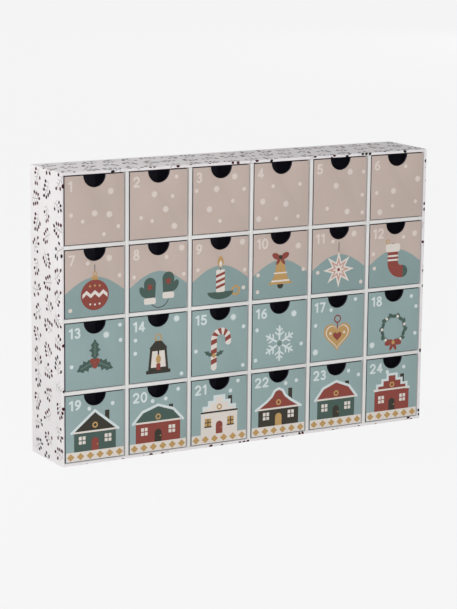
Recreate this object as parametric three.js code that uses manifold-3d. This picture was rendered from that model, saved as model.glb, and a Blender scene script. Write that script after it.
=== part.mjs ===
// Advent calendar: a wrapped board case, a half-lapped grid of boards and twenty-four folded drawers.
// Millimetres, +Z up, the drawer fronts face -Y.
// The origin is on the table, in the middle of the case's footprint.

import * as THREE from "three";
import { mergeVertices } from "three/addons/utils/BufferGeometryUtils.js";
import Module from "manifold-3d";

const wasm = await Module();
wasm.setup();

// Driving dimensions: the cells
const columns = 6;
const rows = 4;
const cellWidth = 58.2; // clear width between two uprights
const cellHeight = 59.8; // clear height between two shelves
const cellDepth = 57.4; // from the front plane to the back board

// Driving dimensions: the boards
const caseWall = 2.6; // greyboard with its printed paper on both sides
const caseCornerRadius = 1; // the wrapped outer corners of the case
const backThickness = 2.6;
const uprightThickness = 3.2;
const shelfThickness = 3.2;
const glueLine = 0.1; // left between two boards that are glued together

// Driving dimensions: the half-lap joints of the grid
const lapClearance = 0.2; // each side of a board in its slot
const uprightLapDepth = 28; // how far in from the front an upright stays whole
const slotLeadIn = 1.2; // the chamfer on each corner of a slot's mouth

// Driving dimensions: the drawers
const drawerSideGap = 0.8; // each side, to the upright or the case
const drawerTopGap = 0.9;
const drawerBottomGap = 0.3; // the drawer slides on this
const drawerBackGap = 0.5;
const faceRecess = 0.5; // the printed face lies this far behind the front plane
const faceThickness = 0.8;
const faceInset = 0.3; // the face is cut this much smaller than the tray at the sides and below
const trayBoard = 1; // the folded card of the tray
const trayFoldRadius = 1.2; // outside of the upright folds
const flapLength = 14; // glue flap, folded from a side wall behind the front or back wall
const flapTaper = 4; // the flap is this much narrower at its free end, top and bottom
const flapTopDrop = 1.5; // the flap starts this far under the wall's upper edge
const notchRadius = 10.5; // the half-round finger notch
const notchSegments = 12;
const cornerSegments = 2;

// Derived dimensions
const columnPitch = cellWidth + uprightThickness;
const rowPitch = cellHeight + shelfThickness;
const innerWidth = columns * columnPitch - uprightThickness;
const innerHeight = rows * rowPitch - shelfThickness;
const caseWidth = innerWidth + 2 * caseWall;
const caseHeight = innerHeight + 2 * caseWall;
const caseDepth = cellDepth + backThickness;
const frontPlane = -caseDepth / 2;
const backPlane = caseDepth / 2;
const gridDepth = cellDepth - glueLine;
const drawerWidth = cellWidth - 2 * drawerSideGap;
const drawerHeight = cellHeight - drawerBottomGap - drawerTopGap;
const trayFront = faceRecess + faceThickness + glueLine; // behind the front plane
const trayDepth = cellDepth - drawerBackGap - trayFront;

const wrappedBoard = new THREE.MeshStandardMaterial({ color: 0xe4e2e2, roughness: 0.75, metalness: 0 });
const plainBoard = new THREE.MeshStandardMaterial({ color: 0xd8d6d4, roughness: 0.85, metalness: 0 });
const gridBoard = new THREE.MeshStandardMaterial({ color: 0xdedcda, roughness: 0.8, metalness: 0 });
const trayCard = new THREE.MeshStandardMaterial({ color: 0x141419, roughness: 0.9, metalness: 0 });
const pinkPrint = new THREE.MeshStandardMaterial({ color: 0xc9b2a8, roughness: 0.6, metalness: 0 });
const tealPrint = new THREE.MeshStandardMaterial({ color: 0x8fa7a5, roughness: 0.6, metalness: 0 });

// A closed three.js geometry as a manifold solid.
function solidFrom(geometry) {
  const bare = geometry.clone();
  bare.deleteAttribute("normal");
  bare.deleteAttribute("uv");
  const merged = mergeVertices(bare, 1e-4);
  return new wasm.Manifold(
    new wasm.Mesh({
      numProp: 3,
      vertProperties: merged.attributes.position.array,
      triVerts: new Uint32Array(merged.index.array),
    }),
  );
}

// A manifold solid as a three.js geometry with flat faces.
function geometryFrom(solid) {
  const mesh = solid.getMesh();
  const geometry = new THREE.BufferGeometry();
  geometry.setAttribute("position", new THREE.BufferAttribute(mesh.vertProperties, 3));
  geometry.setIndex(new THREE.BufferAttribute(mesh.triVerts, 1));
  const flat = geometry.toNonIndexed();
  flat.computeVertexNormals();
  return flat;
}

// A rectangle with round corners, its lower left corner at (left, low).
function roundedRectangle(left, low, width, height, radius) {
  const right = left + width;
  const top = low + height;
  const shape = new THREE.Shape();
  shape.moveTo(left + radius, low);
  shape.lineTo(right - radius, low);
  shape.absarc(right - radius, low + radius, radius, -Math.PI / 2, 0, false);
  shape.lineTo(right, top - radius);
  shape.absarc(right - radius, top - radius, radius, 0, Math.PI / 2, false);
  shape.lineTo(left + radius, top);
  shape.absarc(left + radius, top - radius, radius, Math.PI / 2, Math.PI, false);
  shape.lineTo(left, low + radius);
  shape.absarc(left + radius, low + radius, radius, Math.PI, 1.5 * Math.PI, false);
  return shape;
}

function outline(points) {
  return new THREE.Shape(points.map(([x, y]) => new THREE.Vector2(x, y)));
}

function extrude(shape, depth, curveSegments = cornerSegments) {
  return new THREE.ExtrudeGeometry(shape, { depth, bevelEnabled: false, curveSegments });
}

// Turns a shape drawn in width and height, and extruded, so that its thickness runs back from the front.
function standUp(geometry, depth) {
  return geometry.rotateX(Math.PI / 2).translate(0, depth, 0);
}

function named(name, geometry, material) {
  const mesh = new THREE.Mesh(geometry, material);
  mesh.name = name;
  return mesh;
}

// The corners of one slot, on a straight edge that runs along the first axis.
// mouth is the edge's place, floor is the slot's end, and the slot is centred on middle.
function slotCorners(middle, width, mouth, floor) {
  const inward = Math.sign(floor - mouth) * slotLeadIn;
  const half = width / 2;
  return [
    [middle - half - slotLeadIn, mouth],
    [middle - half, mouth + inward],
    [middle - half, floor],
    [middle + half, floor],
    [middle + half, mouth + inward],
    [middle + half + slotLeadIn, mouth],
  ];
}

// Centre of upright i, counted from the left, across the case.
function uprightCentre(i) {
  return -innerWidth / 2 + (i + 1) * columnPitch - uprightThickness / 2;
}

// Centre of shelf i, counted from the bottom, above the table.
function shelfCentre(i) {
  return caseWall + (i + 1) * rowPitch - shelfThickness / 2;
}

// The four walls: one grooved strip of board, folded round and glued, open in front and behind.
function makeSleeve() {
  const walls = roundedRectangle(-caseWidth / 2, 0, caseWidth, caseHeight, caseCornerRadius);
  walls.holes.push(
    outline([
      [-innerWidth / 2, caseWall],
      [-innerWidth / 2, caseHeight - caseWall],
      [innerWidth / 2, caseHeight - caseWall],
      [innerWidth / 2, caseWall],
    ]),
  );
  const sleeve = named("case_sleeve", standUp(extrude(walls, caseDepth), caseDepth), wrappedBoard);
  sleeve.position.y = frontPlane;
  return sleeve;
}

// The back board is glued inside the sleeve, flush with its rear edge.
function makeBackBoard() {
  const width = innerWidth - 2 * glueLine;
  const height = innerHeight - 2 * glueLine;
  const board = named("back_board", new THREE.BoxGeometry(width, backThickness, height), plainBoard);
  board.position.set(0, backPlane - backThickness / 2, caseHeight / 2);
  return board;
}

// An upright is whole in front, with a slot from behind for each shelf.
function makeUpright(i) {
  const low = caseWall + glueLine;
  const high = caseHeight - caseWall - glueLine;
  const slotWidth = shelfThickness + 2 * lapClearance;
  const rear = [];
  for (let s = rows - 2; s >= 0; s--) {
    const slot = slotCorners(shelfCentre(s), slotWidth, gridDepth, uprightLapDepth);
    rear.push(...slot.reverse().map(([z, y]) => [y, z]));
  }
  const profile = outline([[0, low], [gridDepth, low], ...rear.reverse(), [gridDepth, high], [0, high]]);
  // The profile is drawn in depth and height, and its thickness runs across the case.
  const turn = new THREE.Matrix4().makeBasis(
    new THREE.Vector3(0, 1, 0),
    new THREE.Vector3(0, 0, 1),
    new THREE.Vector3(1, 0, 0),
  );
  const geometry = extrude(profile, uprightThickness).applyMatrix4(turn);
  const upright = named(`upright_${i + 1}`, geometry, gridBoard);
  upright.position.set(uprightCentre(i) - uprightThickness / 2, frontPlane, 0);
  return upright;
}

// A shelf is whole behind, with a slot from the front for each upright.
function makeShelf(i) {
  const left = -innerWidth / 2 + glueLine;
  const right = innerWidth / 2 - glueLine;
  const slotWidth = uprightThickness + 2 * lapClearance;
  const slotFloor = uprightLapDepth + lapClearance;
  const front = [];
  for (let u = 0; u < columns - 1; u++) {
    front.push(...slotCorners(uprightCentre(u), slotWidth, 0, slotFloor));
  }
  const profile = outline([[left, 0], ...front, [right, 0], [right, gridDepth], [left, gridDepth]]);
  const shelf = named(`shelf_${i + 1}`, extrude(profile, shelfThickness), gridBoard);
  shelf.position.set(0, frontPlane, shelfCentre(i) - shelfThickness / 2);
  return shelf;
}

// One glue flap, folded in from a side wall and lying flat against the front or back wall.
// side is -1 on the left and 1 on the right, and y is the near face of the flap.
function makeFlap(side, y) {
  const root = side * (drawerWidth / 2 - trayBoard / 2); // buried in the side wall it is folded from
  const tip = side * (drawerWidth / 2 - trayBoard - flapLength);
  const low = trayBoard / 2; // buried in the base
  const high = drawerHeight - flapTopDrop;
  const corners = [[root, low], [tip, low + flapTaper], [tip, high - flapTaper], [root, high]];
  const flap = outline(side < 0 ? corners : corners.reverse());
  return solidFrom(standUp(extrude(flap, trayBoard), trayBoard).translate(0, y, 0));
}

// The finger notch as a cutter: a drum across the front wall, centred on its upper edge.
function makeNotchCutter(from, depth) {
  const drum = new THREE.CylinderGeometry(notchRadius, notchRadius, depth, 2 * notchSegments);
  return solidFrom(drum.translate(0, from + depth / 2, drawerHeight));
}

// The tray is one blank: base, four walls and four glue flaps. Its front lies at y = 0.
function makeTraySolid() {
  const outer = roundedRectangle(-drawerWidth / 2, 0, drawerWidth, trayDepth, trayFoldRadius);
  const inside = roundedRectangle(
    -drawerWidth / 2 + trayBoard,
    trayBoard,
    drawerWidth - 2 * trayBoard,
    trayDepth - 2 * trayBoard,
    trayFoldRadius - trayBoard,
  );
  const block = solidFrom(extrude(outer, drawerHeight));
  const hollow = solidFrom(extrude(inside, drawerHeight).translate(0, 0, trayBoard));
  let tray = block.subtract(hollow);
  for (const side of [-1, 1]) {
    // Each flap starts inside its wall, so that the two are one card.
    tray = tray.add(makeFlap(side, trayBoard));
    tray = tray.add(makeFlap(side, trayDepth - 2 * trayBoard));
  }
  return tray.subtract(makeNotchCutter(-trayBoard, 4 * trayBoard));
}

// The printed face: a thin card, cut to the tray's outline and notch, drawn in width and height.
function makeFaceGeometry() {
  const half = drawerWidth / 2 - faceInset;
  const face = new THREE.Shape();
  face.moveTo(-half, faceInset);
  face.lineTo(half, faceInset);
  face.lineTo(half, drawerHeight);
  face.lineTo(notchRadius, drawerHeight);
  face.absarc(0, drawerHeight, notchRadius, 0, -Math.PI, true);
  face.lineTo(-half, drawerHeight);
  return standUp(extrude(face, faceThickness, notchSegments), faceThickness);
}

const trayGeometry = geometryFrom(makeTraySolid());
const faceGeometry = makeFaceGeometry();

// Drawers are numbered along each row from the upper left.
function makeDrawer(number) {
  const column = (number - 1) % columns;
  const rowFromTop = Math.floor((number - 1) / columns);
  const rowFromBottom = rows - 1 - rowFromTop;
  const label = `drawer_${String(number).padStart(2, "0")}`;
  const tray = named(`${label}_tray`, trayGeometry, trayCard);
  tray.position.y = trayFront;
  const face = named(`${label}_face`, faceGeometry, rowFromTop < rows / 2 ? pinkPrint : tealPrint);
  face.position.y = faceRecess;
  const drawer = new THREE.Group();
  drawer.add(tray, face);
  drawer.position.set(
    -innerWidth / 2 + column * columnPitch + cellWidth / 2,
    frontPlane,
    caseWall + rowFromBottom * rowPitch + drawerBottomGap,
  );
  return drawer;
}

const calendar = new THREE.Group();
calendar.add(makeSleeve(), makeBackBoard());
for (let i = 0; i < columns - 1; i++) calendar.add(makeUpright(i));
for (let i = 0; i < rows - 1; i++) calendar.add(makeShelf(i));
for (let number = 1; number <= rows * columns; number++) calendar.add(makeDrawer(number));

export default calendar;
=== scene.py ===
# %% [markdown]
# # An advent calendar: twenty-four card drawers in a paper-covered case
# The real object is a shallow case of greyboard, covered with white paper that is printed with small berry
# sprigs. A grid of boards divides it into four rows of six cells. Each cell holds a drawer folded from black
# card, with a printed card glued on its front.
# Its solids come in first, as a fixed frame in metres, and nothing here moves or resizes them.

# %% Load the frame
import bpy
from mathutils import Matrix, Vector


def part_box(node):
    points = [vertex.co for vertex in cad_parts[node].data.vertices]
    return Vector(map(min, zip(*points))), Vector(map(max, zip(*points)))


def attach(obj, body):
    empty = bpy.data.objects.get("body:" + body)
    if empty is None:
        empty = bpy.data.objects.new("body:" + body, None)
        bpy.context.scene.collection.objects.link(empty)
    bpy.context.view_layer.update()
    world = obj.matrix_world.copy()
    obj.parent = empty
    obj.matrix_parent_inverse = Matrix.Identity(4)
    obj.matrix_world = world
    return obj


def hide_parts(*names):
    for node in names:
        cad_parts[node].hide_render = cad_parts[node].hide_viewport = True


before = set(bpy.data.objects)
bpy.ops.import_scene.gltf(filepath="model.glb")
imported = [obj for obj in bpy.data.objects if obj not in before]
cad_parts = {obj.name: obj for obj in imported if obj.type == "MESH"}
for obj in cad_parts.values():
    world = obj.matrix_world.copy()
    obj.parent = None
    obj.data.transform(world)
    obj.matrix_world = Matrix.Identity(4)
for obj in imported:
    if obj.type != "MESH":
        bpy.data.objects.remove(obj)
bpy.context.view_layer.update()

# %% [markdown]
# ## Sizes
# Everything here is placed from the frame, so that it still fits when a size changes there. The few sizes
# that belong to the finish alone, such as how far an edge is rounded, are in millimetres.

# %% Sizes
import math
import random

import bmesh
import bpy
from mathutils import Matrix, Vector

MM = 0.001
COLUMNS = 6
ROWS = 4
DRAWERS = range(1, COLUMNS * ROWS + 1)

GLUE_LINE = 0.1 * MM

case_low, case_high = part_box("case_sleeve")
face_low, face_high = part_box("drawer_01_face")
tray_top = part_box("drawer_01_tray")[1].z
FRONT = case_low.y
CASE_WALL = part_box("back_board")[0].x - case_low.x - GLUE_LINE
FACE_WIDTH = (face_high.x - face_low.x) / MM
FACE_HEIGHT = (face_high.z - face_low.z) / MM
PITCH_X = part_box("drawer_02_face")[0].x - face_low.x
PITCH_Z = face_low.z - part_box("drawer_07_face")[0].z
print("wall", CASE_WALL / MM, "mm, face", FACE_WIDTH, "by", FACE_HEIGHT, "mm")
print("drawers repeat every", PITCH_X / MM, "mm across and", PITCH_Z / MM, "mm up")

# %% [markdown]
# ## The camera
# The photograph was taken with a long lens, a little above the case and well to its left. The camera starts
# straight in front of the grid's middle and is then turned, tilted and rolled. Its place follows from
# where the middle of the grid should appear, so the three turns and the distance are all that is needed.

# %% The camera
PHOTO_FOCAL_LENGTH = 2205.4
PHOTO_LONG_SIDE = 609
SENSOR = 36
CAMERA_TURN = math.radians(29.96)
CAMERA_TILT = math.radians(11.35)
CAMERA_ROLL = math.radians(-0.60)
CAMERA_DISTANCE = 1.9527
GRID_RIGHT_OF_AXIS = 0.0196
GRID_ABOVE_AXIS = 0.0015

shelf_low, shelf_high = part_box("shelf_2")
grid_middle = Vector((0, FRONT, (shelf_low.z + shelf_high.z) / 2))
camera_turn = (
    Matrix.Rotation(math.radians(90), 4, "X")
    @ Matrix.Rotation(-CAMERA_TURN, 4, "Y")
    @ Matrix.Rotation(-CAMERA_TILT, 4, "X")
    @ Matrix.Rotation(-CAMERA_ROLL, 4, "Z")
)
grid_from_camera = Vector((GRID_RIGHT_OF_AXIS, GRID_ABOVE_AXIS, -CAMERA_DISTANCE))
camera_place = grid_middle - camera_turn.to_3x3() @ grid_from_camera
bpy.ops.object.camera_add()
camera = bpy.context.object
camera.matrix_world = Matrix.Translation(camera_place) @ camera_turn
camera.data.sensor_width = SENSOR
camera.data.lens = PHOTO_FOCAL_LENGTH / PHOTO_LONG_SIDE * SENSOR
bpy.context.scene.camera = camera
print("camera at", tuple(camera_place), "lens", camera.data.lens)

# %% [markdown]
# ## Helpers for nodes
# A finish is a small tree of nodes. The helper add_node adds one and sets or links its sockets, by name or
# by number. The rest are short names for what every tree needs: sums, mixes, ramps and noise.

# %% Helpers for nodes
def srgb(red, green, blue):
    """A colour as a screen shows it, from 0 to 255, as the light values that a shader works in."""
    def to_light(value):
        share = value / 255
        return share / 12.92 if share <= 0.04045 else ((share + 0.055) / 1.055) ** 2.4
    return (to_light(red), to_light(green), to_light(blue), 1)


def add_node(tree, kind, sockets=None, **settings):
    """Kind is the node's type without the word ShaderNode, which starts all the types used here."""
    node = tree.nodes.new("ShaderNode" + kind)
    for name, value in settings.items():
        setattr(node, name, value)
    for name, value in (sockets or {}).items():
        if isinstance(value, bpy.types.NodeSocket):
            tree.links.new(value, node.inputs[name])
        else:
            node.inputs[name].default_value = value
    return node


def sum_of(tree, operation, *values):
    return add_node(tree, "Math", dict(enumerate(values)), operation=operation).outputs[0]


def scaled(tree, vector, factor):
    return add_node(tree, "VectorMath", {0: vector, "Scale": factor}, operation="SCALE").outputs[0]


def split(tree, vector):
    return add_node(tree, "SeparateXYZ", {0: vector}).outputs


def joined(tree, x, y):
    return add_node(tree, "CombineXYZ", {0: x, 1: y}).outputs[0]


def mixed(tree, share, first, second):
    """Goes from the first colour to the second as share goes from 0 to 1."""
    sockets = {0: share, 6: first, 7: second}
    return add_node(tree, "Mix", sockets, data_type="RGBA").outputs[2]


def ramp(tree, value, low, high, from_value=0.0, to_value=1.0):
    sockets = {"Value": value, "From Min": low, "From Max": high, "To Min": from_value, "To Max": to_value}
    return add_node(tree, "MapRange", sockets).outputs[0]


def noise(tree, place, scale, detail):
    sockets = {"Vector": place, "Scale": scale, "Detail": detail}
    return add_node(tree, "TexNoise", sockets).outputs["Fac"]


def empty_material(name):
    material = bpy.data.materials.new(name)
    material.use_nodes = True
    material.node_tree.nodes.clear()
    return material, material.node_tree


print("middle grey as light:", srgb(128, 128, 128)[0])

# %% [markdown]
# ## Paper and card
# Every surface of the calendar is paper or card, so the finishes share one build. Fine noise makes the
# fibres, which show as a faint bump and a change of shade. A broad, weak noise makes the colour drift as
# it does on cheap coated paper. Object coordinates are used, so that the grain has one size everywhere.

# %% Paper and card
FIBRE_SCALE = 1900
FIBRE_BUMP = 0.03 * MM
BUMP_STRENGTH = 0.35
FIBRE_ROUGHNESS = 0.06
DRIFT_SCALE = 22
SHADE_SPAN = (0.3, 0.7)
ROUGH_SPAN = (0.2, 0.8)
PAPER_SHEEN = 0.2


def object_place(tree):
    return add_node(tree, "TexCoord").outputs["Object"]


def paper_surface(tree, colour, roughness, fibre=0.05, drift=0.04):
    """Ends a tree with a paper shader, whose colour is a socket or three plain values."""
    place = object_place(tree)
    fibres = noise(tree, place, FIBRE_SCALE, detail=3)
    slow = noise(tree, place, DRIFT_SCALE, detail=2)
    fine_shade = ramp(tree, fibres, *SHADE_SPAN, -fibre, fibre)
    broad_shade = ramp(tree, slow, *SHADE_SPAN, 1 - drift, 1 + drift)
    varied = scaled(tree, colour, sum_of(tree, "ADD", fine_shade, broad_shade))
    bumps = {"Height": fibres, "Strength": BUMP_STRENGTH, "Distance": FIBRE_BUMP}
    lift = add_node(tree, "Bump", bumps).outputs[0]
    rough = ramp(tree, fibres, *ROUGH_SPAN, roughness - FIBRE_ROUGHNESS, roughness + FIBRE_ROUGHNESS)
    sockets = {"Base Color": varied, "Roughness": rough, "Normal": lift, "Specular IOR Level": PAPER_SHEEN}
    shader = add_node(tree, "BsdfPrincipled", sockets)
    add_node(tree, "OutputMaterial", {"Surface": shader.outputs[0]})


def plain_paper(name, colour, roughness=0.62, **grain):
    material, tree = empty_material(name)
    paper_surface(tree, colour[:3], roughness, **grain)
    return material


board_paper = plain_paper("grid_cover_paper", srgb(230, 229, 227))
back_paper = plain_paper("back_liner_paper", srgb(221, 217, 210), roughness=0.8, fibre=0.09, drift=0.025)
# Black card for the trays. On the edges of the drawer fronts it also paints the shade in the gaps between
# drawers.
black_card_and_gap_shade = plain_paper("black_dyed_card_and_gap_shade", srgb(60, 58, 71), roughness=0.85, fibre=0.2, drift=0.1)
print("papers:", len(bpy.data.materials))

# %% [markdown]
# ## The sprig print
# The cover paper carries a small all-over print of berry sprigs. It is too fine to model and runs round
# the edges, so it is a pattern on the paper's own unrolled coordinates, in metres. A sprig is nothing but
# ovals: long thin ones for the stem and the twigs, and short ones for the berries. Each oval is a Mapping
# node that squeezes it to a circle, and the length of the vector then says how far inside a point is.

# %% The parts of a sprig
STEM_ENDS = ((0, -8.7), (0, 6.2))
STEM_HALF = 0.23
TWIG_HALF = 0.18
TWIG_RISE = 2.8
BERRY_HALF = (1.5, 1.85)
TIP_BERRY = (0.3, 7.3)
BERRY_PAIRS = 3
BERRY_RISE = 3.95
BERRY_REACH = 5.6
REACH_LOSS = 0.9
RIGHT_START = -2.6
LEFT_START = -4.6


def side_berries():
    """Berries on the right and the left of the stem, closer in towards its tip."""
    berries = []
    for i in range(BERRY_PAIRS):
        reach = BERRY_REACH - REACH_LOSS * i
        berries.append((reach, RIGHT_START + BERRY_RISE * i))
        berries.append((-reach, LEFT_START + BERRY_RISE * i))
    return berries


def oval_distance(tree, place, centre, lean, half):
    """Less than 1 inside an oval that leans by this angle."""
    sockets = {"Vector": place, "Location": (*centre, 0), "Rotation": (0, 0, lean), "Scale": (*half, 1)}
    inside = add_node(tree, "Mapping", sockets, vector_type="TEXTURE").outputs[0]
    return add_node(tree, "VectorMath", {0: inside}, operation="LENGTH").outputs["Value"]


def line_distance(tree, place, start, end, half):
    """A thin oval from one point to another."""
    middle = ((start[0] + end[0]) / 2, (start[1] + end[1]) / 2)
    lean = -math.atan2(end[0] - start[0], end[1] - start[1])
    return oval_distance(tree, place, middle, lean, (half, math.dist(start, end) / 2))


def nearest(tree, distances):
    least = distances[0]
    for distance in distances[1:]:
        least = sum_of(tree, "MINIMUM", least, distance)
    return least


print("berries beside a stem:", len(side_berries()))

# %% [markdown]
# The first coordinate of the unrolled paper runs round the case and the second runs from front to back. The
# paper is divided into staggered cells along both. A white noise on the cell's number throws the dice that
# shift, turn, size and bend the sprig in that cell, so no two look the same. A cell is a little larger than
# a sprig, and so hardly any is cut off.

# %% The cells of the print
SPRIG_SPACE = (19.6, 21.5)
SPRIG_SHIFT = (2.0, 3.8)
SPRIG_SIZE = (0.88, 1.02)
SPRIG_BEND = 0.022
FRONT_EDGE_SHIFT = 5.5 * MM
SHIFT_DICE = (11.9, 7.3)
TURN_DIE = 17.1
SIZE_DIE = 23.7
BEND_DIE = 29.3


def die(tree, chance, factor, low=0, high=1):
    """One more die from the same chance: what is behind the point after it is multiplied."""
    fraction = sum_of(tree, "FRACT", sum_of(tree, "MULTIPLY", chance, factor))
    return fraction if (low, high) == (0, 1) else ramp(tree, fraction, 0, 1, low, high)


def from_middle(tree, count, chance, way):
    """How far a point is from the middle of its cell's sprig, in millimetres."""
    space, shift = SPRIG_SPACE[way], SPRIG_SHIFT[way]
    centred = sum_of(tree, "MULTIPLY_ADD", sum_of(tree, "FRACT", count), space, -space / 2)
    return sum_of(tree, "ADD", centred, die(tree, chance, SHIFT_DICE[way], -shift / 2, shift / 2))


def sprig_cells(tree, unrolled):
    """The place within the nearest cell, in millimetres, and that cell's chance."""
    round_case, down, _ = split(tree, unrolled)
    across = sum_of(tree, "DIVIDE", sum_of(tree, "ADD", down, FRONT_EDGE_SHIFT), SPRIG_SPACE[1] * MM)
    column = sum_of(tree, "FLOOR", across)
    stagger = sum_of(tree, "MULTIPLY", sum_of(tree, "FLOORED_MODULO", column, 2.0), 0.5)
    along = sum_of(tree, "ADD", sum_of(tree, "DIVIDE", round_case, SPRIG_SPACE[0] * MM), stagger)
    cell = joined(tree, sum_of(tree, "FLOOR", along), column)
    white_noise = add_node(tree, "TexWhiteNoise", {"Vector": cell}, noise_dimensions="2D")
    chance = white_noise.outputs["Value"]
    return joined(tree, from_middle(tree, across, chance, 1), from_middle(tree, along, chance, 0)), chance


def sprig_place(tree, place, chance):
    """Turns, sizes and bends a cell's place, so that the sprig's stem lies along Y."""
    sockets = {"Vector": place, "Angle": die(tree, chance, TURN_DIE, -math.pi, math.pi)}
    turned = add_node(tree, "VectorRotate", sockets, rotation_type="Z_AXIS").outputs[0]
    enlarge = die(tree, chance, SIZE_DIE, 1 / SPRIG_SIZE[1], 1 / SPRIG_SIZE[0])
    x, y, _ = split(tree, scaled(tree, turned, enlarge))
    bend = die(tree, chance, BEND_DIE, -SPRIG_BEND, SPRIG_BEND)
    bent = sum_of(tree, "MULTIPLY_ADD", sum_of(tree, "MULTIPLY", y, y), bend, x)
    return joined(tree, bent, y)


print("a sprig has a cell of", SPRIG_SPACE, "mm")

# %% [markdown]
# A real print shows bare twigs here and there, so each side berry has a die that leaves it out on some
# sprigs. One more die picks the ink: mostly wine red, and now and then a green that is nearly black.

# %% The sprigs
BERRY_SHARE = 0.76
WINE_SHARE = 0.74
BERRY_DIE = 13.7
NEXT_BERRY_DIE = 6.1
INK_DIE = 5.3
OUT_OF_REACH = 9.0
BERRY_EDGE = (0.92, 1.08)
TWIG_EDGE = (0.7, 1.3)
TWIG_STRENGTH = 0.9
WINE_INK = srgb(63, 6, 19)
NIGHT_INK = srgb(9, 13, 14)
TWIG_INK = srgb(78, 60, 62)


def sprig_paper(name, paper_colour):
    material, tree = empty_material(name)
    cell_place, chance = sprig_cells(tree, add_node(tree, "UVMap", uv_map="unrolled").outputs[0])
    place = sprig_place(tree, cell_place, chance)
    berries = [oval_distance(tree, place, TIP_BERRY, 0, BERRY_HALF)]
    twigs = [line_distance(tree, place, *STEM_ENDS, STEM_HALF)]
    for i, (x, y) in enumerate(side_berries()):
        berry_die = die(tree, chance, BERRY_DIE + NEXT_BERRY_DIE * i)
        is_missing = sum_of(tree, "GREATER_THAN", berry_die, BERRY_SHARE)
        berry = oval_distance(tree, place, (x, y), -math.atan2(x, 2 * TWIG_RISE), BERRY_HALF)
        berries.append(sum_of(tree, "MULTIPLY_ADD", is_missing, OUT_OF_REACH, berry))
        twigs.append(line_distance(tree, place, (0, y - TWIG_RISE), (x, y), TWIG_HALF))
    is_berry = ramp(tree, nearest(tree, berries), *BERRY_EDGE, 1, 0)
    is_twig = ramp(tree, nearest(tree, twigs), *TWIG_EDGE, TWIG_STRENGTH, 0)
    is_dark = sum_of(tree, "GREATER_THAN", die(tree, chance, INK_DIE), WINE_SHARE)
    with_twigs = mixed(tree, is_twig, paper_colour, TWIG_INK)
    printed = mixed(tree, is_berry, with_twigs, mixed(tree, is_dark, WINE_INK, NIGHT_INK))
    paper_surface(tree, printed, roughness=0.6, fibre=0.035, drift=0.02)
    return material


sprig_cover = sprig_paper("sprig_cover_paper", srgb(235, 231, 232))
print("sprig print:", len(sprig_cover.node_tree.nodes), "nodes")

# %% [markdown]
# ## Helpers for modelling
# The pieces are made as one would at the desk: a primitive goes to its place, is shaped in edit mode, and
# gets its size applied so that its object sits at the origin. Faces and edges are picked in code by where
# they are, because an operator acts on whatever is selected.

# %% Helpers for modelling
SHARP_ANGLE = math.radians(40)
SMOOTH_ANGLE = math.radians(35)


def select_only(*pieces):
    bpy.ops.object.select_all(action="DESELECT")
    for piece in pieces:
        piece.select_set(True)
    bpy.context.view_layer.objects.active = pieces[0]


def settle():
    """Writes place, turn and size into the mesh, so that the object itself sits at the origin."""
    bpy.ops.object.transform_apply(location=True, rotation=True, scale=True)


def box_between(name, low, high):
    """A cube stretched between two corners."""
    bpy.ops.mesh.primitive_cube_add(size=1, location=(low + high) / 2)
    piece = bpy.context.object
    piece.name = name
    piece.data.name = name
    piece.scale = high - low
    settle()
    return piece


def edit(piece):
    select_only(piece)
    bpy.ops.object.mode_set(mode="EDIT")


def close_up():
    """Turns every face outward and leaves edit mode."""
    bpy.ops.mesh.select_all(action="SELECT")
    bpy.ops.mesh.normals_make_consistent(inside=False)
    bpy.ops.object.mode_set(mode="OBJECT")


def pick(piece, kind, wanted):
    """Selects the faces or edges that pass the test."""
    bpy.ops.mesh.select_mode(type=kind)
    bpy.ops.mesh.select_all(action="DESELECT")
    mesh = bmesh.from_edit_mesh(piece.data)
    for part in mesh.faces if kind == "FACE" else mesh.edges:
        part.select_set(wanted(part))
    bmesh.update_edit_mesh(piece.data)


def round_edges(piece, width, segments=2):
    """Rounds every sharp edge, as paper does when it is folded over a board."""
    bevel = piece.modifiers.new("rounded edges", "BEVEL")
    bevel.width = width
    bevel.segments = segments
    bevel.limit_method = "ANGLE"
    bevel.angle_limit = SHARP_ANGLE
    select_only(piece)
    bpy.ops.object.modifier_apply(modifier=bevel.name)


def dress(piece, *materials):
    piece.data.materials.clear()
    for material in materials:
        piece.data.materials.append(material)


def smooth(piece):
    select_only(piece)
    bpy.ops.object.shade_smooth_by_angle(angle=SMOOTH_ANGLE)


# %% [markdown]
# ## The case
# The four walls are one strip of board, folded round and covered with paper that turns over the front edge
# and in. A cube is inset at both ends and bridged through, which leaves the four walls in one piece. The
# corners and the rims are then bevelled, because folded paper never makes a knife edge.

# %% The case
CORNER_RADIUS = 1.0 * MM
RIM_RADIUS = 0.6 * MM
NEAR = 0.01 * MM
FACING = 0.9


def is_corner(point):
    at_side = min(point.x - case_low.x, case_high.x - point.x) < NEAR
    at_end = min(point.z - case_low.z, case_high.z - point.z) < NEAR
    return at_side and at_end


def is_long_corner(edge):
    a, b = edge.verts[0].co, edge.verts[1].co
    return is_corner(a) and is_corner(b) and abs(a.y - b.y) > CASE_WALL


def model_case():
    case = box_between("case_cover", case_low, case_high)
    edit(case)
    pick(case, "FACE", lambda face: abs(face.normal.y) > FACING)
    bpy.ops.mesh.inset(thickness=CASE_WALL, use_individual=True)
    bpy.ops.mesh.bridge_edge_loops()
    pick(case, "EDGE", is_long_corner)
    bpy.ops.mesh.bevel(offset=CORNER_RADIUS, segments=4, affect="EDGES")
    pick(case, "FACE", lambda face: face.normal.y < -FACING)
    bpy.ops.mesh.region_to_loop()
    bpy.ops.mesh.bevel(offset=RIM_RADIUS, segments=3, affect="EDGES")
    close_up()
    return case


case_cover = model_case()
print("case:", len(case_cover.data.polygons), "faces, size", tuple(case_cover.dimensions / MM))

# %% [markdown]
# The printed paper is one long strip, so its coordinates are the strip's own: how far round the case, and
# how far from the front edge. On the rim the second one turns negative and carries on into the case, so the
# print runs on over the edge without a break.

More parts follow.
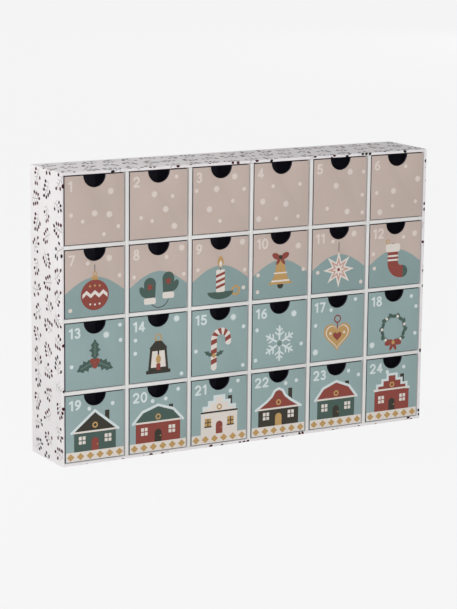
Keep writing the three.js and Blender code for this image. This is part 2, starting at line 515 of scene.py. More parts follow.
# %% Unroll the case's paper
WIDTH = case_high.x - case_low.x
HEIGHT = case_high.z - case_low.z
WALL_START = (0, HEIGHT, HEIGHT + WIDTH, 2 * HEIGHT + WIDTH)


def gaps_to_walls(point):
    """How far a point lies inside the left, top, right and bottom faces of the case."""
    return (point.x - case_low.x, case_high.z - point.z, case_high.x - point.x, point.z - case_low.z)


def unrolled(point, wall, behind_edge):
    """The gap to the wall before says how far along its own wall a point is."""
    gaps = gaps_to_walls(point)
    from_front = point.y - FRONT
    if behind_edge:
        down = from_front + gaps[wall]
    elif gaps[wall] > CASE_WALL / 2:
        down = -gaps[wall] - from_front
    else:
        down = from_front - gaps[wall]
    return (WALL_START[wall] + gaps[wall - 1], down)


def unroll_case(case):
    layer = case.data.uv_layers[0]
    layer.name = "unrolled"
    for face in case.data.polygons:
        gaps = gaps_to_walls(face.center)
        wall = gaps.index(min(gaps))
        for loop in face.loop_indices:
            point = case.data.vertices[case.data.loops[loop].vertex_index].co
            layer.data[loop].uv = unrolled(point, wall, face.normal.y > FACING)


unroll_case(case_cover)
dress(case_cover, sprig_cover)
smooth(case_cover)
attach(case_cover, "case")
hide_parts("case_sleeve")
dress(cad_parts["back_board"], back_paper)
print("the paper is", 2 * (WIDTH + HEIGHT) / MM, "mm long")

# %% [markdown]
# ## The grid
# Uprights and shelves are boards that slot half into each other. A plane is cut along the slots' edges, the
# slots are deleted, and the rest is extruded to the board's thickness. The same steps make both, because
# only the direction of the slots differs. The edges are rounded a little, since paper covers them too.

# %% The grid
LAP_DEPTH = 28 * MM
LAP_CLEARANCE = 0.2 * MM
BOARD_ROUND = 0.35 * MM
FLAT_ANGLE = math.radians(1)
X, Y, Z = 0, 1, 2


def lay_board(node, along):
    """A plane on one broad face of a board that runs along X or Z."""
    low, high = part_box(node)
    middle = (low + high) / 2
    thin = X + Z - along
    middle[thin] = low[thin]
    lean = math.radians(90) if along == Z else 0
    bpy.ops.mesh.primitive_plane_add(size=1, location=middle, rotation=(0, lean, 0))
    board = bpy.context.object
    board.name = f"grid_{node}"
    board.scale = (high[along] - low[along], high.y - low.y, 1)
    settle()
    return board


def cut_at(axis, place):
    normal = Vector((0, 0, 0))
    normal[axis] = 1
    bpy.ops.mesh.select_all(action="SELECT")
    bpy.ops.mesh.bisect(plane_co=normal * place, plane_no=normal)


def cut_slots(board, along, crossing):
    """Slots an upright from behind and a shelf from the front, with room for the other board."""
    slot_floor = FRONT + LAP_DEPTH if along == Z else FRONT + LAP_DEPTH + LAP_CLEARANCE
    boxes = [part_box(node) for node in crossing]
    slots = [(low[along] - LAP_CLEARANCE, high[along] + LAP_CLEARANCE) for low, high in boxes]
    cut_at(Y, slot_floor)
    for ends in slots:
        for end in ends:
            cut_at(along, end)

    def in_slot(face):
        centre = face.calc_center_median()
        is_behind = centre.y > slot_floor
        return is_behind == (along == Z) and any(start < centre[along] < end for start, end in slots)

    pick(board, "FACE", in_slot)
    bpy.ops.mesh.delete(type="FACE")


def thicken(node, along):
    low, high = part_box(node)
    thickness = high - low
    thickness[along] = thickness[Y] = 0
    bpy.ops.mesh.select_all(action="SELECT")
    bpy.ops.mesh.extrude_region_move(TRANSFORM_OT_translate={"value": thickness})
    bpy.ops.mesh.select_all(action="SELECT")
    bpy.ops.mesh.dissolve_limited(angle_limit=FLAT_ANGLE)


def model_board(node, along, crossing):
    board = lay_board(node, along)
    edit(board)
    cut_slots(board, along, crossing)
    thicken(node, along)
    close_up()
    round_edges(board, BOARD_ROUND)
    dress(board, board_paper)
    smooth(board)
    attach(board, "case")
    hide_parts(node)


upright_nodes = [f"upright_{i}" for i in range(1, COLUMNS)]
shelf_nodes = [f"shelf_{i}" for i in range(1, ROWS)]
for node in upright_nodes:
    model_board(node, Z, shelf_nodes)
for node in shelf_nodes:
    model_board(node, X, upright_nodes)
print("grid boards:", len(upright_nodes) + len(shelf_nodes))

# %% [markdown]
# ## The ground of the print
# All the drawer fronts share one printed picture ground: dusty pink above, and below it grey-green hills that
# are a little lighter in the two lower rows, with one scallop for each drawer. As the picture runs on from
# drawer to drawer, its pattern is worked out from the object coordinates of the whole calendar.

# %% The ground of the print
PINK = srgb(196, 179, 170)
FAR_TEAL = srgb(139, 160, 160)
NEAR_TEAL = srgb(148, 169, 169)
SCALLOP_RISE = 15 * MM
SCALLOP_BASE = face_low.z - PITCH_Z + 19 * MM
COLOUR_EDGE = 0.05 * MM


def printed_ground(name):
    material, tree = empty_material(name)
    x, _, z = split(tree, object_place(tree))
    wave = sum_of(tree, "SINE", sum_of(tree, "MULTIPLY", x, math.pi / PITCH_X))
    crest = sum_of(tree, "MULTIPLY_ADD", sum_of(tree, "ABSOLUTE", wave), SCALLOP_RISE, SCALLOP_BASE)
    is_pink = ramp(tree, sum_of(tree, "SUBTRACT", z, crest), -COLOUR_EDGE, COLOUR_EDGE)
    is_far = sum_of(tree, "GREATER_THAN", z, shelf_low.z)
    hills = mixed(tree, is_far, NEAR_TEAL, FAR_TEAL)
    paper_surface(tree, mixed(tree, is_pink, hills, PINK), roughness=0.55, fibre=0.03, drift=0.03)
    return material


ground_print = printed_ground("printed_ground")
print("the hills begin", SCALLOP_BASE / MM, "mm up")

# %% [markdown]
# ## The drawer fronts
# A front is a card with a half-round finger notch. It is cut from a box with a drum, as a punch would do, and
# its edges are crushed a little round. It is made once, and every drawer gets a copy, moved in its mesh. Only
# the front is printed. The card is taken as dyed through, so its rounded edges are black, and these black
# edges also paint the dark shade in the gaps round each drawer.

# %% The drawer fronts
NOTCH_RADIUS = 10.5 * MM
NOTCH_SIDES = 72
PUNCH_LENGTH = 10 * MM
FRONT_ROUND = 0.3 * MM
PRINTED_NORMAL = -0.35


def drawer_name(number):
    return f"drawer_{number:02d}"


def model_front():
    front = box_between("front_pattern", face_low, face_high)
    middle = (face_low + face_high) / 2
    bpy.ops.mesh.primitive_cylinder_add(
        vertices=NOTCH_SIDES, radius=NOTCH_RADIUS, depth=PUNCH_LENGTH,
        location=(middle.x, middle.y, tray_top), rotation=(math.radians(90), 0, 0),
    )
    punch = bpy.context.object
    cut = front.modifiers.new("notch", "BOOLEAN")
    cut.object = punch
    cut.operation = "DIFFERENCE"
    select_only(front)
    bpy.ops.object.modifier_apply(modifier=cut.name)
    bpy.data.objects.remove(punch)
    round_edges(front, FRONT_ROUND, 3)
    dress(front, ground_print, black_card_and_gap_shade)
    # Every face that does not look forward takes the black card, which paints the shade in the gaps round the
    # drawer.
    for face in front.data.polygons:
        face.material_index = 0 if face.normal.y < PRINTED_NORMAL else 1
    smooth(front)
    return front


def place_fronts(pattern):
    for number in DRAWERS:
        name = drawer_name(number)
        front = pattern.copy()
        front.data = pattern.data.copy()
        front.name = f"{name}_front"
        bpy.context.scene.collection.objects.link(front)
        front.data.transform(Matrix.Translation(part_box(f"{name}_face")[0] - face_low))
        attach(front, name)
        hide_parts(f"{name}_face")
        dress(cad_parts[f"{name}_tray"], black_card_and_gap_shade)


front_pattern = model_front()
place_fronts(front_pattern)
bpy.data.objects.remove(front_pattern)
print("fronts placed:", len(DRAWERS))

# %% [markdown]
# ## Shapes for the print
# The picture on each front is printed in a few flat inks. Each ink shape is an outline that fills itself,
# which is what a flat curve does. The outlines come from small functions, in millimetres. Where two
# outlines of one ink overlap, the overlap is left open.

# %% Shapes for the print
def placed(points, x, y, lean=0.0):
    """Turns points about the origin and then moves them to x, y."""
    cos, sin = math.cos(lean), math.sin(lean)
    return [(x + a * cos - b * sin, y + a * sin + b * cos) for a, b in points]


def oval(x, y, across, up, lean=0.0, count=28):
    turns = [2 * math.pi * i / count for i in range(count)]
    return placed([(across * math.cos(turn), up * math.sin(turn)) for turn in turns], x, y, lean)


def disc(x, y, radius, count=28):
    return oval(x, y, radius, radius, 0, count)


def point_at(x, y, reach, turn):
    """The point this far from x, y in a direction in degrees."""
    angle = math.radians(turn)
    return (x + reach * math.cos(angle), y + reach * math.sin(angle))


def arc(x, y, radius, start, end, count=12):
    """Points on an arc, from one angle to another in degrees."""
    return [point_at(x, y, radius, start + (end - start) * i / count) for i in range(count + 1)]


def block(x, y, width, height, radius=0.0):
    """A rectangle on its lower left corner, with round corners if a radius is given."""
    if radius == 0:
        return [(x, y), (x + width, y), (x + width, y + height), (x, y + height)]
    right, top = x + width - radius, y + height - radius
    left, low = x + radius, y + radius
    corners = enumerate([(right, low), (right, top), (left, top), (left, low)])
    return [point for i, corner in corners for point in arc(*corner, radius, 90 * i - 90, 90 * i, 4)]


def star(x, y, outer, inner, tips):
    return [point_at(x, y, inner if i % 2 else outer, 90 + 180 * i / tips) for i in range(2 * tips)]


def heading(start, end):
    """The direction from one point to another, in degrees."""
    return math.degrees(math.atan2(end[1] - start[1], end[0] - start[0]))


def stroke(path, width):
    """The outline of a drawn line, with round ends and pointed corners."""
    half = width / 2
    headings = [heading(start, end) for start, end in zip(path, path[1:])]
    left, right = [], []
    for i, corner in enumerate(path[1:-1]):
        turn = (headings[i + 1] - headings[i] + 180) % 360 - 180
        reach = half / math.cos(math.radians(turn / 2))
        left.append(point_at(*corner, reach, headings[i] + turn / 2 + 90))
        right.append(point_at(*corner, reach, headings[i] + turn / 2 - 90))
    end_cap = arc(*path[-1], half, headings[-1] + 90, headings[-1] - 90, 8)
    start_cap = arc(*path[0], half, headings[0] - 90, headings[0] - 270, 8)
    return left + end_cap + right[::-1] + start_cap


def heart(x, y, size):
    """The well-known heart curve, whose half width is 16."""
    points = []
    for i in range(40):
        t = 2 * math.pi * i / 40
        across = 16 * math.sin(t) ** 3
        up = 13 * math.cos(t) - 5 * math.cos(2 * t) - 2 * math.cos(3 * t) - math.cos(4 * t)
        points.append((x + across * size / 16, y + up * size / 16))
    return points


def leaf(x, y, length, width, lean, spikes=0):
    """A pointed leaf from its stalk at x, y. Spikes draw its edge in between points, as holly's is."""
    sides = []
    for side, steps in ((1, range(19)), (-1, range(17, 0, -1))):
        for step in steps:
            t = step / 18
            bite = 1 - 0.45 * abs(math.sin(math.pi * spikes * t)) if spikes else 1
            sides.append((length * t, side * width / 2 * math.sin(math.pi * t) ** 0.8 * bite))
    return placed(sides, x, y, math.radians(lean))


print("points in a disc:", len(disc(0, 0, 1)))

# %% [markdown]
# ## Numbers
# The numbers are plain round-ended figures, drawn with an even stroke. A text object would be quicker, but
# Blender's own typeface is too thin for this print. Round loops are rings, and the rest are strokes along
# centre lines. A nine is a six turned half round.

# %% Numbers
FIGURE_WIDTH = 6.6
ONE_WIDTH = 4.3
FIGURE_HEIGHT = 9.6
FIGURE_STROKE = 1.8
FIGURE_GAP = 1.1
NUMBER_LEFT = 3.0
NUMBER_TOP_GAP = 3.9
FIGURE_LINES = {
    "1": [[(1.1, 7.3), (3.2, 8.6)], [(3.2, 8.6), (3.2, 1.0)]],
    "2": [[*arc(3.3, 6.3, 2.3, 165, -38, 16), (1.1, 1.0)], [(1.1, 1.0), (5.6, 1.0)]],
    "3": [arc(3.0, 6.8, 1.8, 150, -90, 16), arc(3.0, 3.0, 2.0, 90, -150, 16)],
    "4": [[(4.4, 8.5), (1.0, 3.0)], [(1.0, 3.0), (5.8, 3.0)], [(4.4, 8.5), (4.4, 1.0)]],
    "5": [[(5.3, 8.6), (1.8, 8.6)], [(1.8, 8.6), (1.4, 5.1)], arc(3.1, 3.35, 2.35, 130, -145, 16)],
    "7": [[(1.0, 8.6), (5.6, 8.6)], [(5.6, 8.6), (2.6, 1.0)]],
}


def ring(x, y, across, up, width):
    return [oval(x, y, across, up), oval(x, y, across - width, up - width)]


def figure(digit):
    """The outlines of a figure, as a list of shapes that are inked one after the other."""
    if digit == "0":
        return [ring(3.3, 4.8, 3.3, 4.8, FIGURE_STROKE)]
    if digit == "8":
        return [ring(3.3, 7.1, 2.7, 2.5, FIGURE_STROKE), ring(3.3, 2.8, 3.1, 2.8, FIGURE_STROKE)]
    if digit == "6":
        tail = arc(6.4, 3.3, 5.2, 110, 180)
        return [ring(3.3, 3.05, 3.05, 3.05, FIGURE_STROKE), [stroke(tail, FIGURE_STROKE)]]
    if digit == "9":
        half_turn = (FIGURE_WIDTH, FIGURE_HEIGHT, math.pi)
        return [[placed(line, *half_turn) for line in shape] for shape in figure("6")]
    return [[stroke(line, FIGURE_STROKE)] for line in FIGURE_LINES[digit]]


def number_shapes(number):
    shapes = []
    x = NUMBER_LEFT
    y = FACE_HEIGHT - NUMBER_TOP_GAP - FIGURE_HEIGHT
    for digit in str(number):
        shapes += [[placed(line, x, y) for line in shape] for shape in figure(digit)]
        x += (ONE_WIDTH if digit == "1" else FIGURE_WIDTH) + FIGURE_GAP
    return shapes


print("shapes in the number 24:", len(number_shapes(24)))

# %% [markdown]
# ## The inks
# A print in flat inks has no shading of its own, but the ink sits on the paper and takes its grain. Each ink
# is therefore the same paper shader in another colour, a little smoother than the bare print.

# %% The inks
INK_COLOURS = {
    "snow": srgb(213, 222, 222),
    "blush": srgb(220, 208, 201),
    "snow_edge": srgb(178, 193, 192),
    "blush_edge": srgb(205, 191, 184),
    "cream": srgb(224, 216, 208),
    "forest": srgb(72, 92, 85),
    "sage": srgb(112, 137, 128),
    "brick": srgb(139, 70, 62),
    "umber": srgb(55, 52, 45),
    "mustard": srgb(188, 152, 98),
    "rose": srgb(198, 159, 148),
}
inks = {
    name: plain_paper(f"ink_{name}", colour, roughness=0.5, fibre=0.03, drift=0.02)
    for name, colour in INK_COLOURS.items()
}
print("inks:", ", ".join(inks))

# %% [markdown]
# ## The pictures
# Winter things that anyone may print: a bauble, mittens, a candle, a bell and so on in the middle rows, and
# a street of gabled houses along the bottom. Each function gives a list of layers, and a layer is an ink
# followed by its outlines. Later layers lie over earlier ones. Outlines that overlap go in different layers,
# because two shapes of ink at one height would flicker. The pictures are drawn about x = 0, where a mirrored
# side differs by its sign alone, while numbers and snow dots are measured from the front's lower left corner.

# %% The pictures of the second row
def bauble():
    zigzag = [(3.95 * i - 11.8, 20.5 + (2.2 if i % 2 else -1.2)) for i in range(7)]
    lower = [(x, y - 3.4) for x, y in reversed(zigzag)]
    return [
        ("umber", stroke([(0, 38.6), (0, 44.5)], 0.6)),
        ("mustard", block(-3, 31, 6, 4, 0.8), *ring(0, 37, 1.9, 1.9, 0.8)),
        ("brick", disc(0, 18.5, 13.2, 48)),
        ("cream", zigzag + lower),
        ("mustard", *[disc(4.6 * i, 26.6 - 0.35 * i * i, 0.95, 14) for i in (-1, 0, 1)]),
        ("cream", *[disc(4.4 * i, 10.2 + 0.4 * i * i, 0.9, 14) for i in (-1, 0, 1)]),
    ]


def mitten(x, y):
    return [*arc(x, y + 13, 5.8, 0, 180, 14), *arc(x, y + 2.4, 5.2, 190, 350, 10)]


def mittens():
    places = ((-8.5, 10), (9.5, 14))
    return [
        ("umber", stroke(arc(0.5, 11.5, 9.5, 200, 340, 14), 0.7)),
        ("forest", oval(-15.5, 16.6, 2.7, 5.0, 0.45), oval(16.5, 20.6, 2.7, 5.0, -0.45)),
        ("forest", *[mitten(x, y) for x, y in places]),
        ("cream", *[block(x - 5.7, y - 4.6, 11.4, 5.6, 1.6) for x, y in places]),
        ("brick", *[star(x, y + 10.5, 3.8, 1.7, 6) for x, y in places]),
    ]


def candle():
    dish = [(x, 10.5 + (y - 10.5) * 0.52) for x, y in arc(0, 10.5, 13, 180, 360, 24)]
    stripe = [(-4.4, 13), (4.4, 16), (4.4, 18.4), (-4.4, 15.4)]
    return [
        ("mustard", *ring(15.4, 10.5, 4.6, 4.6, 1.9)),
        ("forest", dish),
        ("cream", block(-4.4, 10.2, 8.8, 20, 1.2)),
        ("brick", *[placed(stripe, 0, 5 * i) for i in range(3)]),
        ("umber", stroke([(0, 30), (0, 33)], 0.7)),
        ("mustard", leaf(0, 31.5, 11, 6.2, 90)),
        ("cream", leaf(0, 32.4, 6, 3.0, 90)),
    ]


def bell():
    right = [(4.0 + 3.2 * t + 6.2 * t ** 5, 33 - 21 * t) for t in [i / 12 for i in range(13)]]
    left = [(-x, y) for x, y in reversed(right)]
    return [
        ("umber", disc(0, 11, 3.1)),
        ("mustard", right + left),
        ("mustard", disc(0, 32.6, 4.1)),
        ("cream", block(-9.4, 14.2, 18.8, 1.6, 0.7), block(-7, 21.5, 14, 1.2, 0.5)),
        ("brick", leaf(0, 36, 8, 3, 235)),
        ("brick", leaf(0, 36, 8, 3, 305)),
        ("brick", oval(-4.6, 37.4, 4.4, 2.7, -0.5), oval(4.6, 37.4, 4.4, 2.7, 0.5)),
        ("umber", disc(0, 36.4, 1.9)),
    ]


def paper_star():
    return [
        ("umber", stroke([(0, 36), (0, 45)], 0.6)),
        ("cream", star(0, 20, 16.5, 7.4, 8)),
        ("rose", star(0, 20, 11.5, 5.2, 8)),
        ("cream", star(0, 20, 7.0, 3.0, 8)),
        ("brick", disc(0, 20, 1.5)),
    ]


def stocking():
    leg = [(-2.5, 34), (-2.5, 24), *arc(6.5, 22, 9, 180, 270, 10)[1:], (8, 13)]
    return [
        ("mustard", *ring(-8.4, 41.4, 2.3, 2.3, 0.9)),
        ("brick", stroke(leg, 11.5)),
        ("forest", arc(8.2, 13, 5.65, -86, 86, 14)),
        ("cream", *[block(-8.1, y, 11.3, 1.7) for y in (27.0, 23.2)]),
        ("cream", block(-10.4, 31.6, 15.6, 7.6, 2.2)),
    ]


print("ink layers in a stocking:", len(stocking()))

# %% [markdown]
# The third row lies wholly on the hills. Leaves that meet at one stalk overlap there, so each of them is a
# layer of its own, and what lies on them comes after.

# %% The pictures of the third row
def holly():
    leans = (205, 335, 90)
    leaves = [("forest", leaf(0, 24, 19, 11.5, lean, 4)) for lean in leans]
    ribs = [stroke([point_at(0, 24, 4, lean), point_at(0, 24, 15, lean)], 0.6) for lean in leans]
    spots = [point_at(0, 22.5, 2.7, math.degrees(turn)) for turn in (0.5, 2.6, 4.7)]
    return leaves + [("sage", *ribs)] + [("brick", disc(x, y, 2.5)) for x, y in spots]


def lantern():
    left_pane = [(-7.4, 12), (-0.8, 12), (-0.8, 26.6), (-6, 26.6)]
    right_pane = [(-x, y) for x, y in left_pane]
    return [
        ("mustard", *ring(0, 38.2, 3.6, 3.6, 1.2)),
        ("umber", [(-9, 29), (9, 29), (3, 35.4), (-3, 35.4)]),
        ("umber", [(-10, 9), (10, 9), (8, 29.4), (-8, 29.4)]),
        ("umber", block(-12, 6.5, 24, 3.2, 0.8)),
        ("cream", left_pane, right_pane),
        ("mustard", leaf(0, 14.8, 8.6, 5.0, 90)),
        ("brick", block(-2, 9.6, 4, 5.8, 0.5)),
    ]


def candy_cane():
    path = [(-6, 6 + 2.2 * i) for i in range(12)] + arc(1.2, 31, 7.2, 180, 0, 16)[1:] + [(8.4, 28)]
    half = 2.9
    stripes = []
    for i in range(1, len(path) - 3, 4):
        corners = []
        for j, side in ((i, 1), (i + 2, 1), (i + 3, -1), (i + 1, -1)):
            along = heading(path[j - 1], path[min(j + 1, len(path) - 1)])
            corners.append(point_at(*path[j], half, along + 90 * side))
        stripes.append(corners)
    return [
        ("cream", stroke(path, 2 * half)),
        ("brick", *stripes),
        ("forest", leaf(-7, 16, 10, 5, 150, 3), leaf(-5, 16, 10, 5, 25, 3)),
        ("mustard", disc(-6, 16.6, 1.9)),
    ]


def snow_crystal():
    layers = []
    for turn in (30, 90, 150):
        ends = [point_at(0, 21, 15.5, turn), point_at(0, 21, 15.5, turn + 180)]
        layers.append(("snow", stroke(ends, 1.8)))
    for side in (-1, 1):
        twigs = []
        for turn in range(30, 390, 60):
            for reach, size in ((7.2, 5.0), (11.3, 3.4)):
                root = point_at(0, 21, reach, turn)
                twigs.append(stroke([root, point_at(*root, size, turn + side * 55)], 1.4))
        layers.append(("snow", *twigs))
    return layers + [("sage", star(0, 21, 3.6, 2.0, 6))]


def spiced_heart():
    return [
        ("brick", stroke([(0, 25), (0, 34)], 1.2)),
        ("brick", *ring(0, 37.6, 3.8, 3.8, 1.2)),
        ("mustard", heart(0, 22.5, 14.5)),
        ("cream", heart(0, 22.5, 12.4), heart(0, 22.5, 11.4)),
        ("brick", heart(0, 21.8, 4.6)),
        ("cream", *[disc(x, 24.6, 1.2, 14) for x in (-7.4, 7.4)]),
    ]


def wreath():
    leaves = {0: [], 1: []}
    for i in range(20):
        odd = i % 2
        root = point_at(0, 22, 13.4 - 1.8 * odd, 18 * i)
        leaves[odd].append(leaf(*root, 6.4, 3.4, 18 * i + (62 if odd else 118)))
    spots = [point_at(0, 22, 12.6, math.degrees(turn)) for turn in (0.3, 1.2, 2.2, 3.1, 4.0, 5.4)]
    return [
        ("sage", *ring(0, 22, 13.6, 13.6, 2.8)),
        ("forest", *leaves[0]),
        ("forest", *leaves[1]),
        ("cream", *[disc(x, y, 1.4, 14) for x, y in spots]),
        ("brick", leaf(0, 9.6, 8.5, 3.2, 245)),
        ("brick", leaf(0, 9.6, 8.5, 3.2, 295)),
        ("brick", oval(-4.8, 9.8, 4.6, 2.8, 0.3), oval(4.8, 9.8, 4.6, 2.8, -0.3)),
        ("mustard", disc(0, 9.6, 1.8)),
    ]


print("ink layers in a wreath:", len(wreath()))

# %% [markdown]
# The houses of the bottom row are one function with a few choices: how wide and high, which gable, and which
# inks. That keeps them a family, as houses in a street are. A gable is given by its right half, from the
# middle out, in shares of the half width and of the rise.

# %% The pictures of the bottom row
BORDER_HEIGHT = 8.4
GABLES = {
    "steep": [(0, 1), (1.12, 0)],
    "barn": [(0, 1), (0.7, 0.66), (1.12, 0)],
    "steps": [(0, 1), (0.26, 1), (0.26, 0.66), (0.56, 0.66), (0.56, 0.33), (0.86, 0.33), (0.86, 0), (1.0, 0)],
    "bell": [(0, 1), (0.2, 0.9), (0.34, 0.62), (0.62, 0.36), (1.12, 0)],
}


def gable_line(gable, half, rise, eaves):
    """The top of a roof, from its left eave over the ridge to its right eave."""
    right = [(a * half, eaves + b * rise) for a, b in GABLES[gable]]
    left = [(-x, y) for x, y in right[:0:-1]]
    ridge = right if right[1][1] < right[0][1] else right[1:]
    return left + ridge


def windows(places, width, height, glow, bars):
    """Panes in one ink, and bars and sills in another."""
    panes = [block(x - width / 2, y, width, height, 0.4) for x, y in places]
    uprights = [block(x - 0.4, y, 0.8, height) for x, y in places]
    sills = [block(x - width / 2 - 0.5, y - 0.9, width + 1, 1.2, 0.3) for x, y in places]
    middles = [block(x - width / 2, y + height / 2 - 0.4, width, 0.8) for x, y in places]
    return [(glow, *panes), (bars, *uprights), (bars, *sills, *middles)]


def house(width, walls, gable, rise, wall_ink, roof_ink, trim_ink, door_ink):
    ground = BORDER_HEIGHT
    eaves = ground + walls
    half = width / 2
    line = gable_line(gable, half, rise, eaves)
    round_window = eaves + rise * 0.3
    glow, bars = ("mustard", "umber") if wall_ink == "cream" else ("cream", wall_ink)
    side_windows = [(side * half * 0.62, ground + walls * 0.36) for side in (-1, 1)]
    return [
        ("umber", block(half * 0.48, eaves + rise * 0.2, 4.2, rise * 0.76)),
        (wall_ink, block(-half, ground, width, walls)),
        (roof_ink, line),
        ("snow", stroke(line, 2.3)),
        (trim_ink, block(-half - 0.8, eaves - 0.8, width + 1.6, 1.6, 0.7)),
        (door_ink, [(-3.4, ground), (3.4, ground), *arc(0, ground + 8, 3.4, 0, 180, 10)]),
        ("mustard", disc(2.2, ground + 5.2, 0.6, 10), *ring(0, round_window, 2.7, 2.7, 1.3)),
        *windows(side_windows, 6.4, 7.2, glow, bars),
    ]


def border():
    middles = [9.35 * i - 23.3 for i in range(6)]
    diamonds = [[(x, 0.8), (x + 3.6, 4.1), (x, 7.4), (x - 3.6, 4.1)] for x in middles]
    return [("cream", block(-27.65, 0.35, FACE_WIDTH - 0.7, BORDER_HEIGHT - 0.35)), ("mustard", *diamonds)]


print("gables:", ", ".join(GABLES))

# %% [markdown]
# Each drawer from seven on now gets its picture. A border runs on under the houses from drawer to drawer.

# %% The pictures in their drawers
PICTURES = {
    7: bauble(), 8: mittens(), 9: candle(), 10: bell(), 11: paper_star(), 12: stocking(),
    13: holly(), 14: lantern(), 15: candy_cane(), 16: snow_crystal(), 17: spiced_heart(), 18: wreath(),
}
HOUSES = {
    19: (40, 17, "steep", 18, "forest", "umber", "cream", "brick"),
    20: (44, 18, "barn", 15, "brick", "forest", "cream", "umber"),
    21: (37, 20, "steps", 14, "cream", "cream", "umber", "brick"),
    22: (42, 16, "bell", 18, "umber", "brick", "cream", "mustard"),
    23: (40, 18, "barn", 16, "forest", "brick", "cream", "umber"),
    24: (38, 20, "steps", 14, "brick", "brick", "cream", "umber"),
}
for number, choices in HOUSES.items():
    PICTURES[number] = border() + house(*choices)
print("most layers in a picture:", max(len(layers) for layers in PICTURES.values()))

# %% [markdown]
# ## Snow dots
# Snow is dots of two sizes, thrown by chance. A dot that would touch the number, the notch or the picture, or
# come close to another dot, is thrown again. A drawer has its own seed, so the snow falls the same way on
# every run.

# %% Snow dots
SMALL_DOT = 1.8
LARGE_DOT = 3.1
DOT_SPACE = 7.5
EDGE_SPACE = 1.5
NUMBER_ZONE = (2, 42, 19, 58)
PICTURE_ZONE = (8, 4, 49, 42)
HOUSE_ZONE = (0, 0, 56, 43)
SNOW_SEED = 400
THROWS = 300


def is_clear(x, y, radius, zones, dots):
    for x0, y0, x1, y1 in zones:
        if x0 - radius < x < x1 + radius and y0 - radius < y < y1 + radius:
            return False
    if math.hypot(x - FACE_WIDTH / 2, y - FACE_HEIGHT) < NOTCH_RADIUS / MM + radius + EDGE_SPACE:
        return False
    return all(math.hypot(x - a, y - b) > radius + r + DOT_SPACE for a, b, r in dots)


def snow_dots(number):
    """Where a drawer's dots are and how large, as (x, y, radius)."""
    dice = random.Random(SNOW_SEED + number)
    if number <= COLUMNS:
        sizes, zones = [LARGE_DOT] * 3 + [SMALL_DOT] * 4, [NUMBER_ZONE]
    elif number <= 3 * COLUMNS:
        sizes, zones = [LARGE_DOT] + [SMALL_DOT] * 3, [NUMBER_ZONE, PICTURE_ZONE]
    else:
        sizes, zones = [SMALL_DOT] * 3, [NUMBER_ZONE, HOUSE_ZONE]
    dots = []
    for size in sizes:
        for _ in range(THROWS):
            x = dice.uniform(size + EDGE_SPACE, FACE_WIDTH - size - EDGE_SPACE)
            y = dice.uniform(size + EDGE_SPACE, FACE_HEIGHT - size - EDGE_SPACE)
            if is_clear(x, y, size, zones, dots):
                dots.append((x, y, size))
                break
    return dots


print("snow dots:", sum(len(snow_dots(number)) for number in DRAWERS))

# %% [markdown]
# ## Printing
# Each layer becomes a flat curve with a hair's thickness, so that it is a closed solid that stands 0.02 mm
# proud of the layer below and sinks a little into the card. The curves are drawn lying down in millimetres,
# then stood up and shrunk to metres, and a drawer's layers are joined into one printed piece. Under a large
# dot lies a wider one in an ink nearer to the ground, so that its edge looks soft.

# %% Printing
INK_STEP = 0.02
INK_ROOT = 0.12
NUMBER_STEP = 0.4
PICTURE_MIDDLE = 28
SOFT_EDGE = 0.7
DOT_POINTS = 22
WELD = 0.001 * MM


def print_place(number):
    """Stands a drawing in millimetres up on the front of a drawer."""
    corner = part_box(f"{drawer_name(number)}_face")[0]
    return Matrix.Translation(corner) @ Matrix.Rotation(math.radians(90), 4, "X") @ Matrix.Scale(MM, 4)


def ink_shape(number, ink, outlines, layer):
    curve = bpy.data.curves.new("ink", "CURVE")
    curve.dimensions = "2D"
    curve.fill_mode = "BOTH"
    for outline in outlines:
        spline = curve.splines.new("POLY")
        spline.points.add(len(outline) - 1)
        spline.points.foreach_set("co", [value for x, y in outline for value in (x, y, 0, 1)])
        spline.use_cyclic_u = True
    proud = INK_STEP * (layer + 1)
    curve.extrude = (proud + INK_ROOT) / 2
    curve.materials.append(inks[ink])
    shape = bpy.data.objects.new("ink", curve)
    bpy.context.scene.collection.objects.link(shape)
    shape.matrix_world = print_place(number) @ Matrix.Translation((0, 0, (proud - INK_ROOT) / 2))
    return shape


def print_drawer(number):
    white = "blush" if number <= 2 * COLUMNS else "snow"
    inked = [(white, outlines, NUMBER_STEP * i) for i, outlines in enumerate(number_shapes(number))]
    dots = snow_dots(number)
    edges = [disc(x, y, size, DOT_POINTS) for x, y, size in dots if size > SMALL_DOT]
    if edges:
        inked.append((f"{white}_edge", edges, 0))
    radii = [size - (SOFT_EDGE if size > SMALL_DOT else 0) for _, _, size in dots]
    middles = [disc(x, y, radius, DOT_POINTS) for (x, y, _), radius in zip(dots, radii)]
    inked.append((white, middles, 1))
    for i, (ink, *outlines) in enumerate(PICTURES.get(number, []), 1):
        inked.append((ink, [placed(line, PICTURE_MIDDLE, 0) for line in outlines], i))
    return [ink_shape(number, *layer) for layer in inked]


def join_print(number, shapes):
    select_only(*shapes)
    bpy.ops.object.join()
    piece = bpy.context.object
    piece.name = f"{drawer_name(number)}_print"
    settle()
    edit(piece)
    bpy.ops.mesh.select_all(action="SELECT")
    bpy.ops.mesh.remove_doubles(threshold=WELD)
    close_up()
    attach(piece, drawer_name(number))


printed = {number: print_drawer(number) for number in DRAWERS}
select_only(*[shape for shapes in printed.values() for shape in shapes])
bpy.ops.object.convert(target="MESH")
for number, shapes in printed.items():
    join_print(number, shapes)
print("printed drawers:", len(printed))

# %% [markdown]
# ## The floor
# The photograph has no visible floor, only an even, nearly white ground. The floor is a wide plane whose
# colour towards the camera is mostly that even white, and the rest is plain shading, so that the case
# still has a soft shadow to stand on. For all other rays the floor is an ordinary pale surface.

# %% The floor
FLOOR_SIZE = 60
FLOOR_GREY = srgb(232, 232, 232)
EVEN_SHARE = 0.93
EVEN_STRENGTH = 0.953


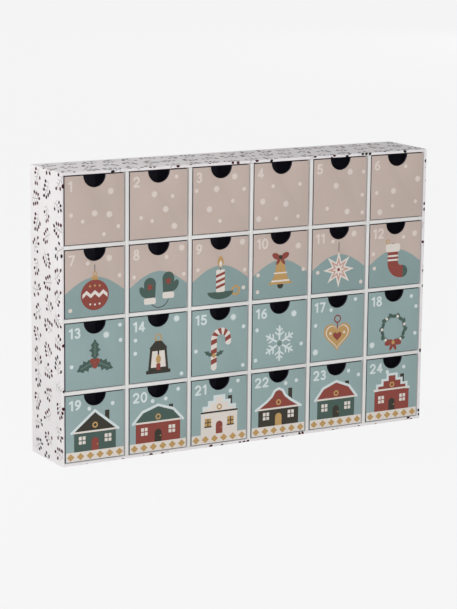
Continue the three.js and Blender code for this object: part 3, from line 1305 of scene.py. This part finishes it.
def is_seen(tree):
    """1 where the camera or a reflection looks, and 0 where only light falls."""
    path = add_node(tree, "LightPath")
    return sum_of(tree, "MAXIMUM", path.outputs["Is Camera Ray"], path.outputs["Is Glossy Ray"])


def pale_floor(name):
    material, tree = empty_material(name)
    matt = add_node(tree, "BsdfDiffuse", {"Color": FLOOR_GREY})
    even = add_node(tree, "Emission", {"Color": (1, 1, 1, 1), "Strength": EVEN_STRENGTH})
    share = sum_of(tree, "MULTIPLY", is_seen(tree), EVEN_SHARE)
    blend = add_node(tree, "MixShader", {0: share, 1: matt.outputs[0], 2: even.outputs[0]})
    add_node(tree, "OutputMaterial", {"Surface": blend.outputs[0]})
    return material


bpy.ops.mesh.primitive_plane_add(size=FLOOR_SIZE)
floor = bpy.context.object
floor.name = "floor"
dress(floor, pale_floor("pale_floor"))
print("floor:", FLOOR_SIZE, "m wide")

# %% [markdown]
# ## Light
# The case's left side is the brightest, the fronts come next and the top is the darkest. So the main light
# is a large soft one before the case, low and a little to the left. Two small ones near the left side lift
# that side and the near end of the top, a weak one falls on the back, and an even sky fills the rest.

# %% Light
SKY_STRENGTH = 0.33
SKY_WHITE = srgb(245, 245, 245)


def soft_light(name, towards_light, distance, size, power):
    """A square light that faces the middle of the calendar."""
    direction = Vector(towards_light).normalized()
    bpy.ops.object.light_add(type="AREA", location=grid_middle + direction * distance)
    light = bpy.context.object
    light.name = name
    light.rotation_euler = direction.to_track_quat("Z", "Y").to_euler()
    light.data.shape = "SQUARE"
    light.data.size = size
    light.data.energy = power
    print(name, power, "watts")


soft_light("left light", (-0.75, 0.30, 0.62), distance=1.0, size=0.5, power=3.0)
soft_light("low left light", (-0.95, 0.30, -0.08), distance=1.2, size=0.4, power=1.4)
soft_light("front light", (-0.38, -0.92, 0.10), distance=5.0, size=2.4, power=182)
soft_light("light from behind", (0.75, 0.65, 0.0), distance=5.0, size=1.2, power=60)

world = bpy.data.worlds.new("studio")
bpy.context.scene.world = world
world.use_nodes = True
sky = world.node_tree
sky.nodes.clear()
sky_colour = mixed(sky, is_seen(sky), (SKY_STRENGTH, SKY_STRENGTH, SKY_STRENGTH, 1), SKY_WHITE)
sky_light = add_node(sky, "Background", {"Color": sky_colour, "Strength": 1.0})
add_node(sky, "OutputWorld", {"Surface": sky_light.outputs[0]})
bpy.context.scene.view_settings.view_transform = "Standard"
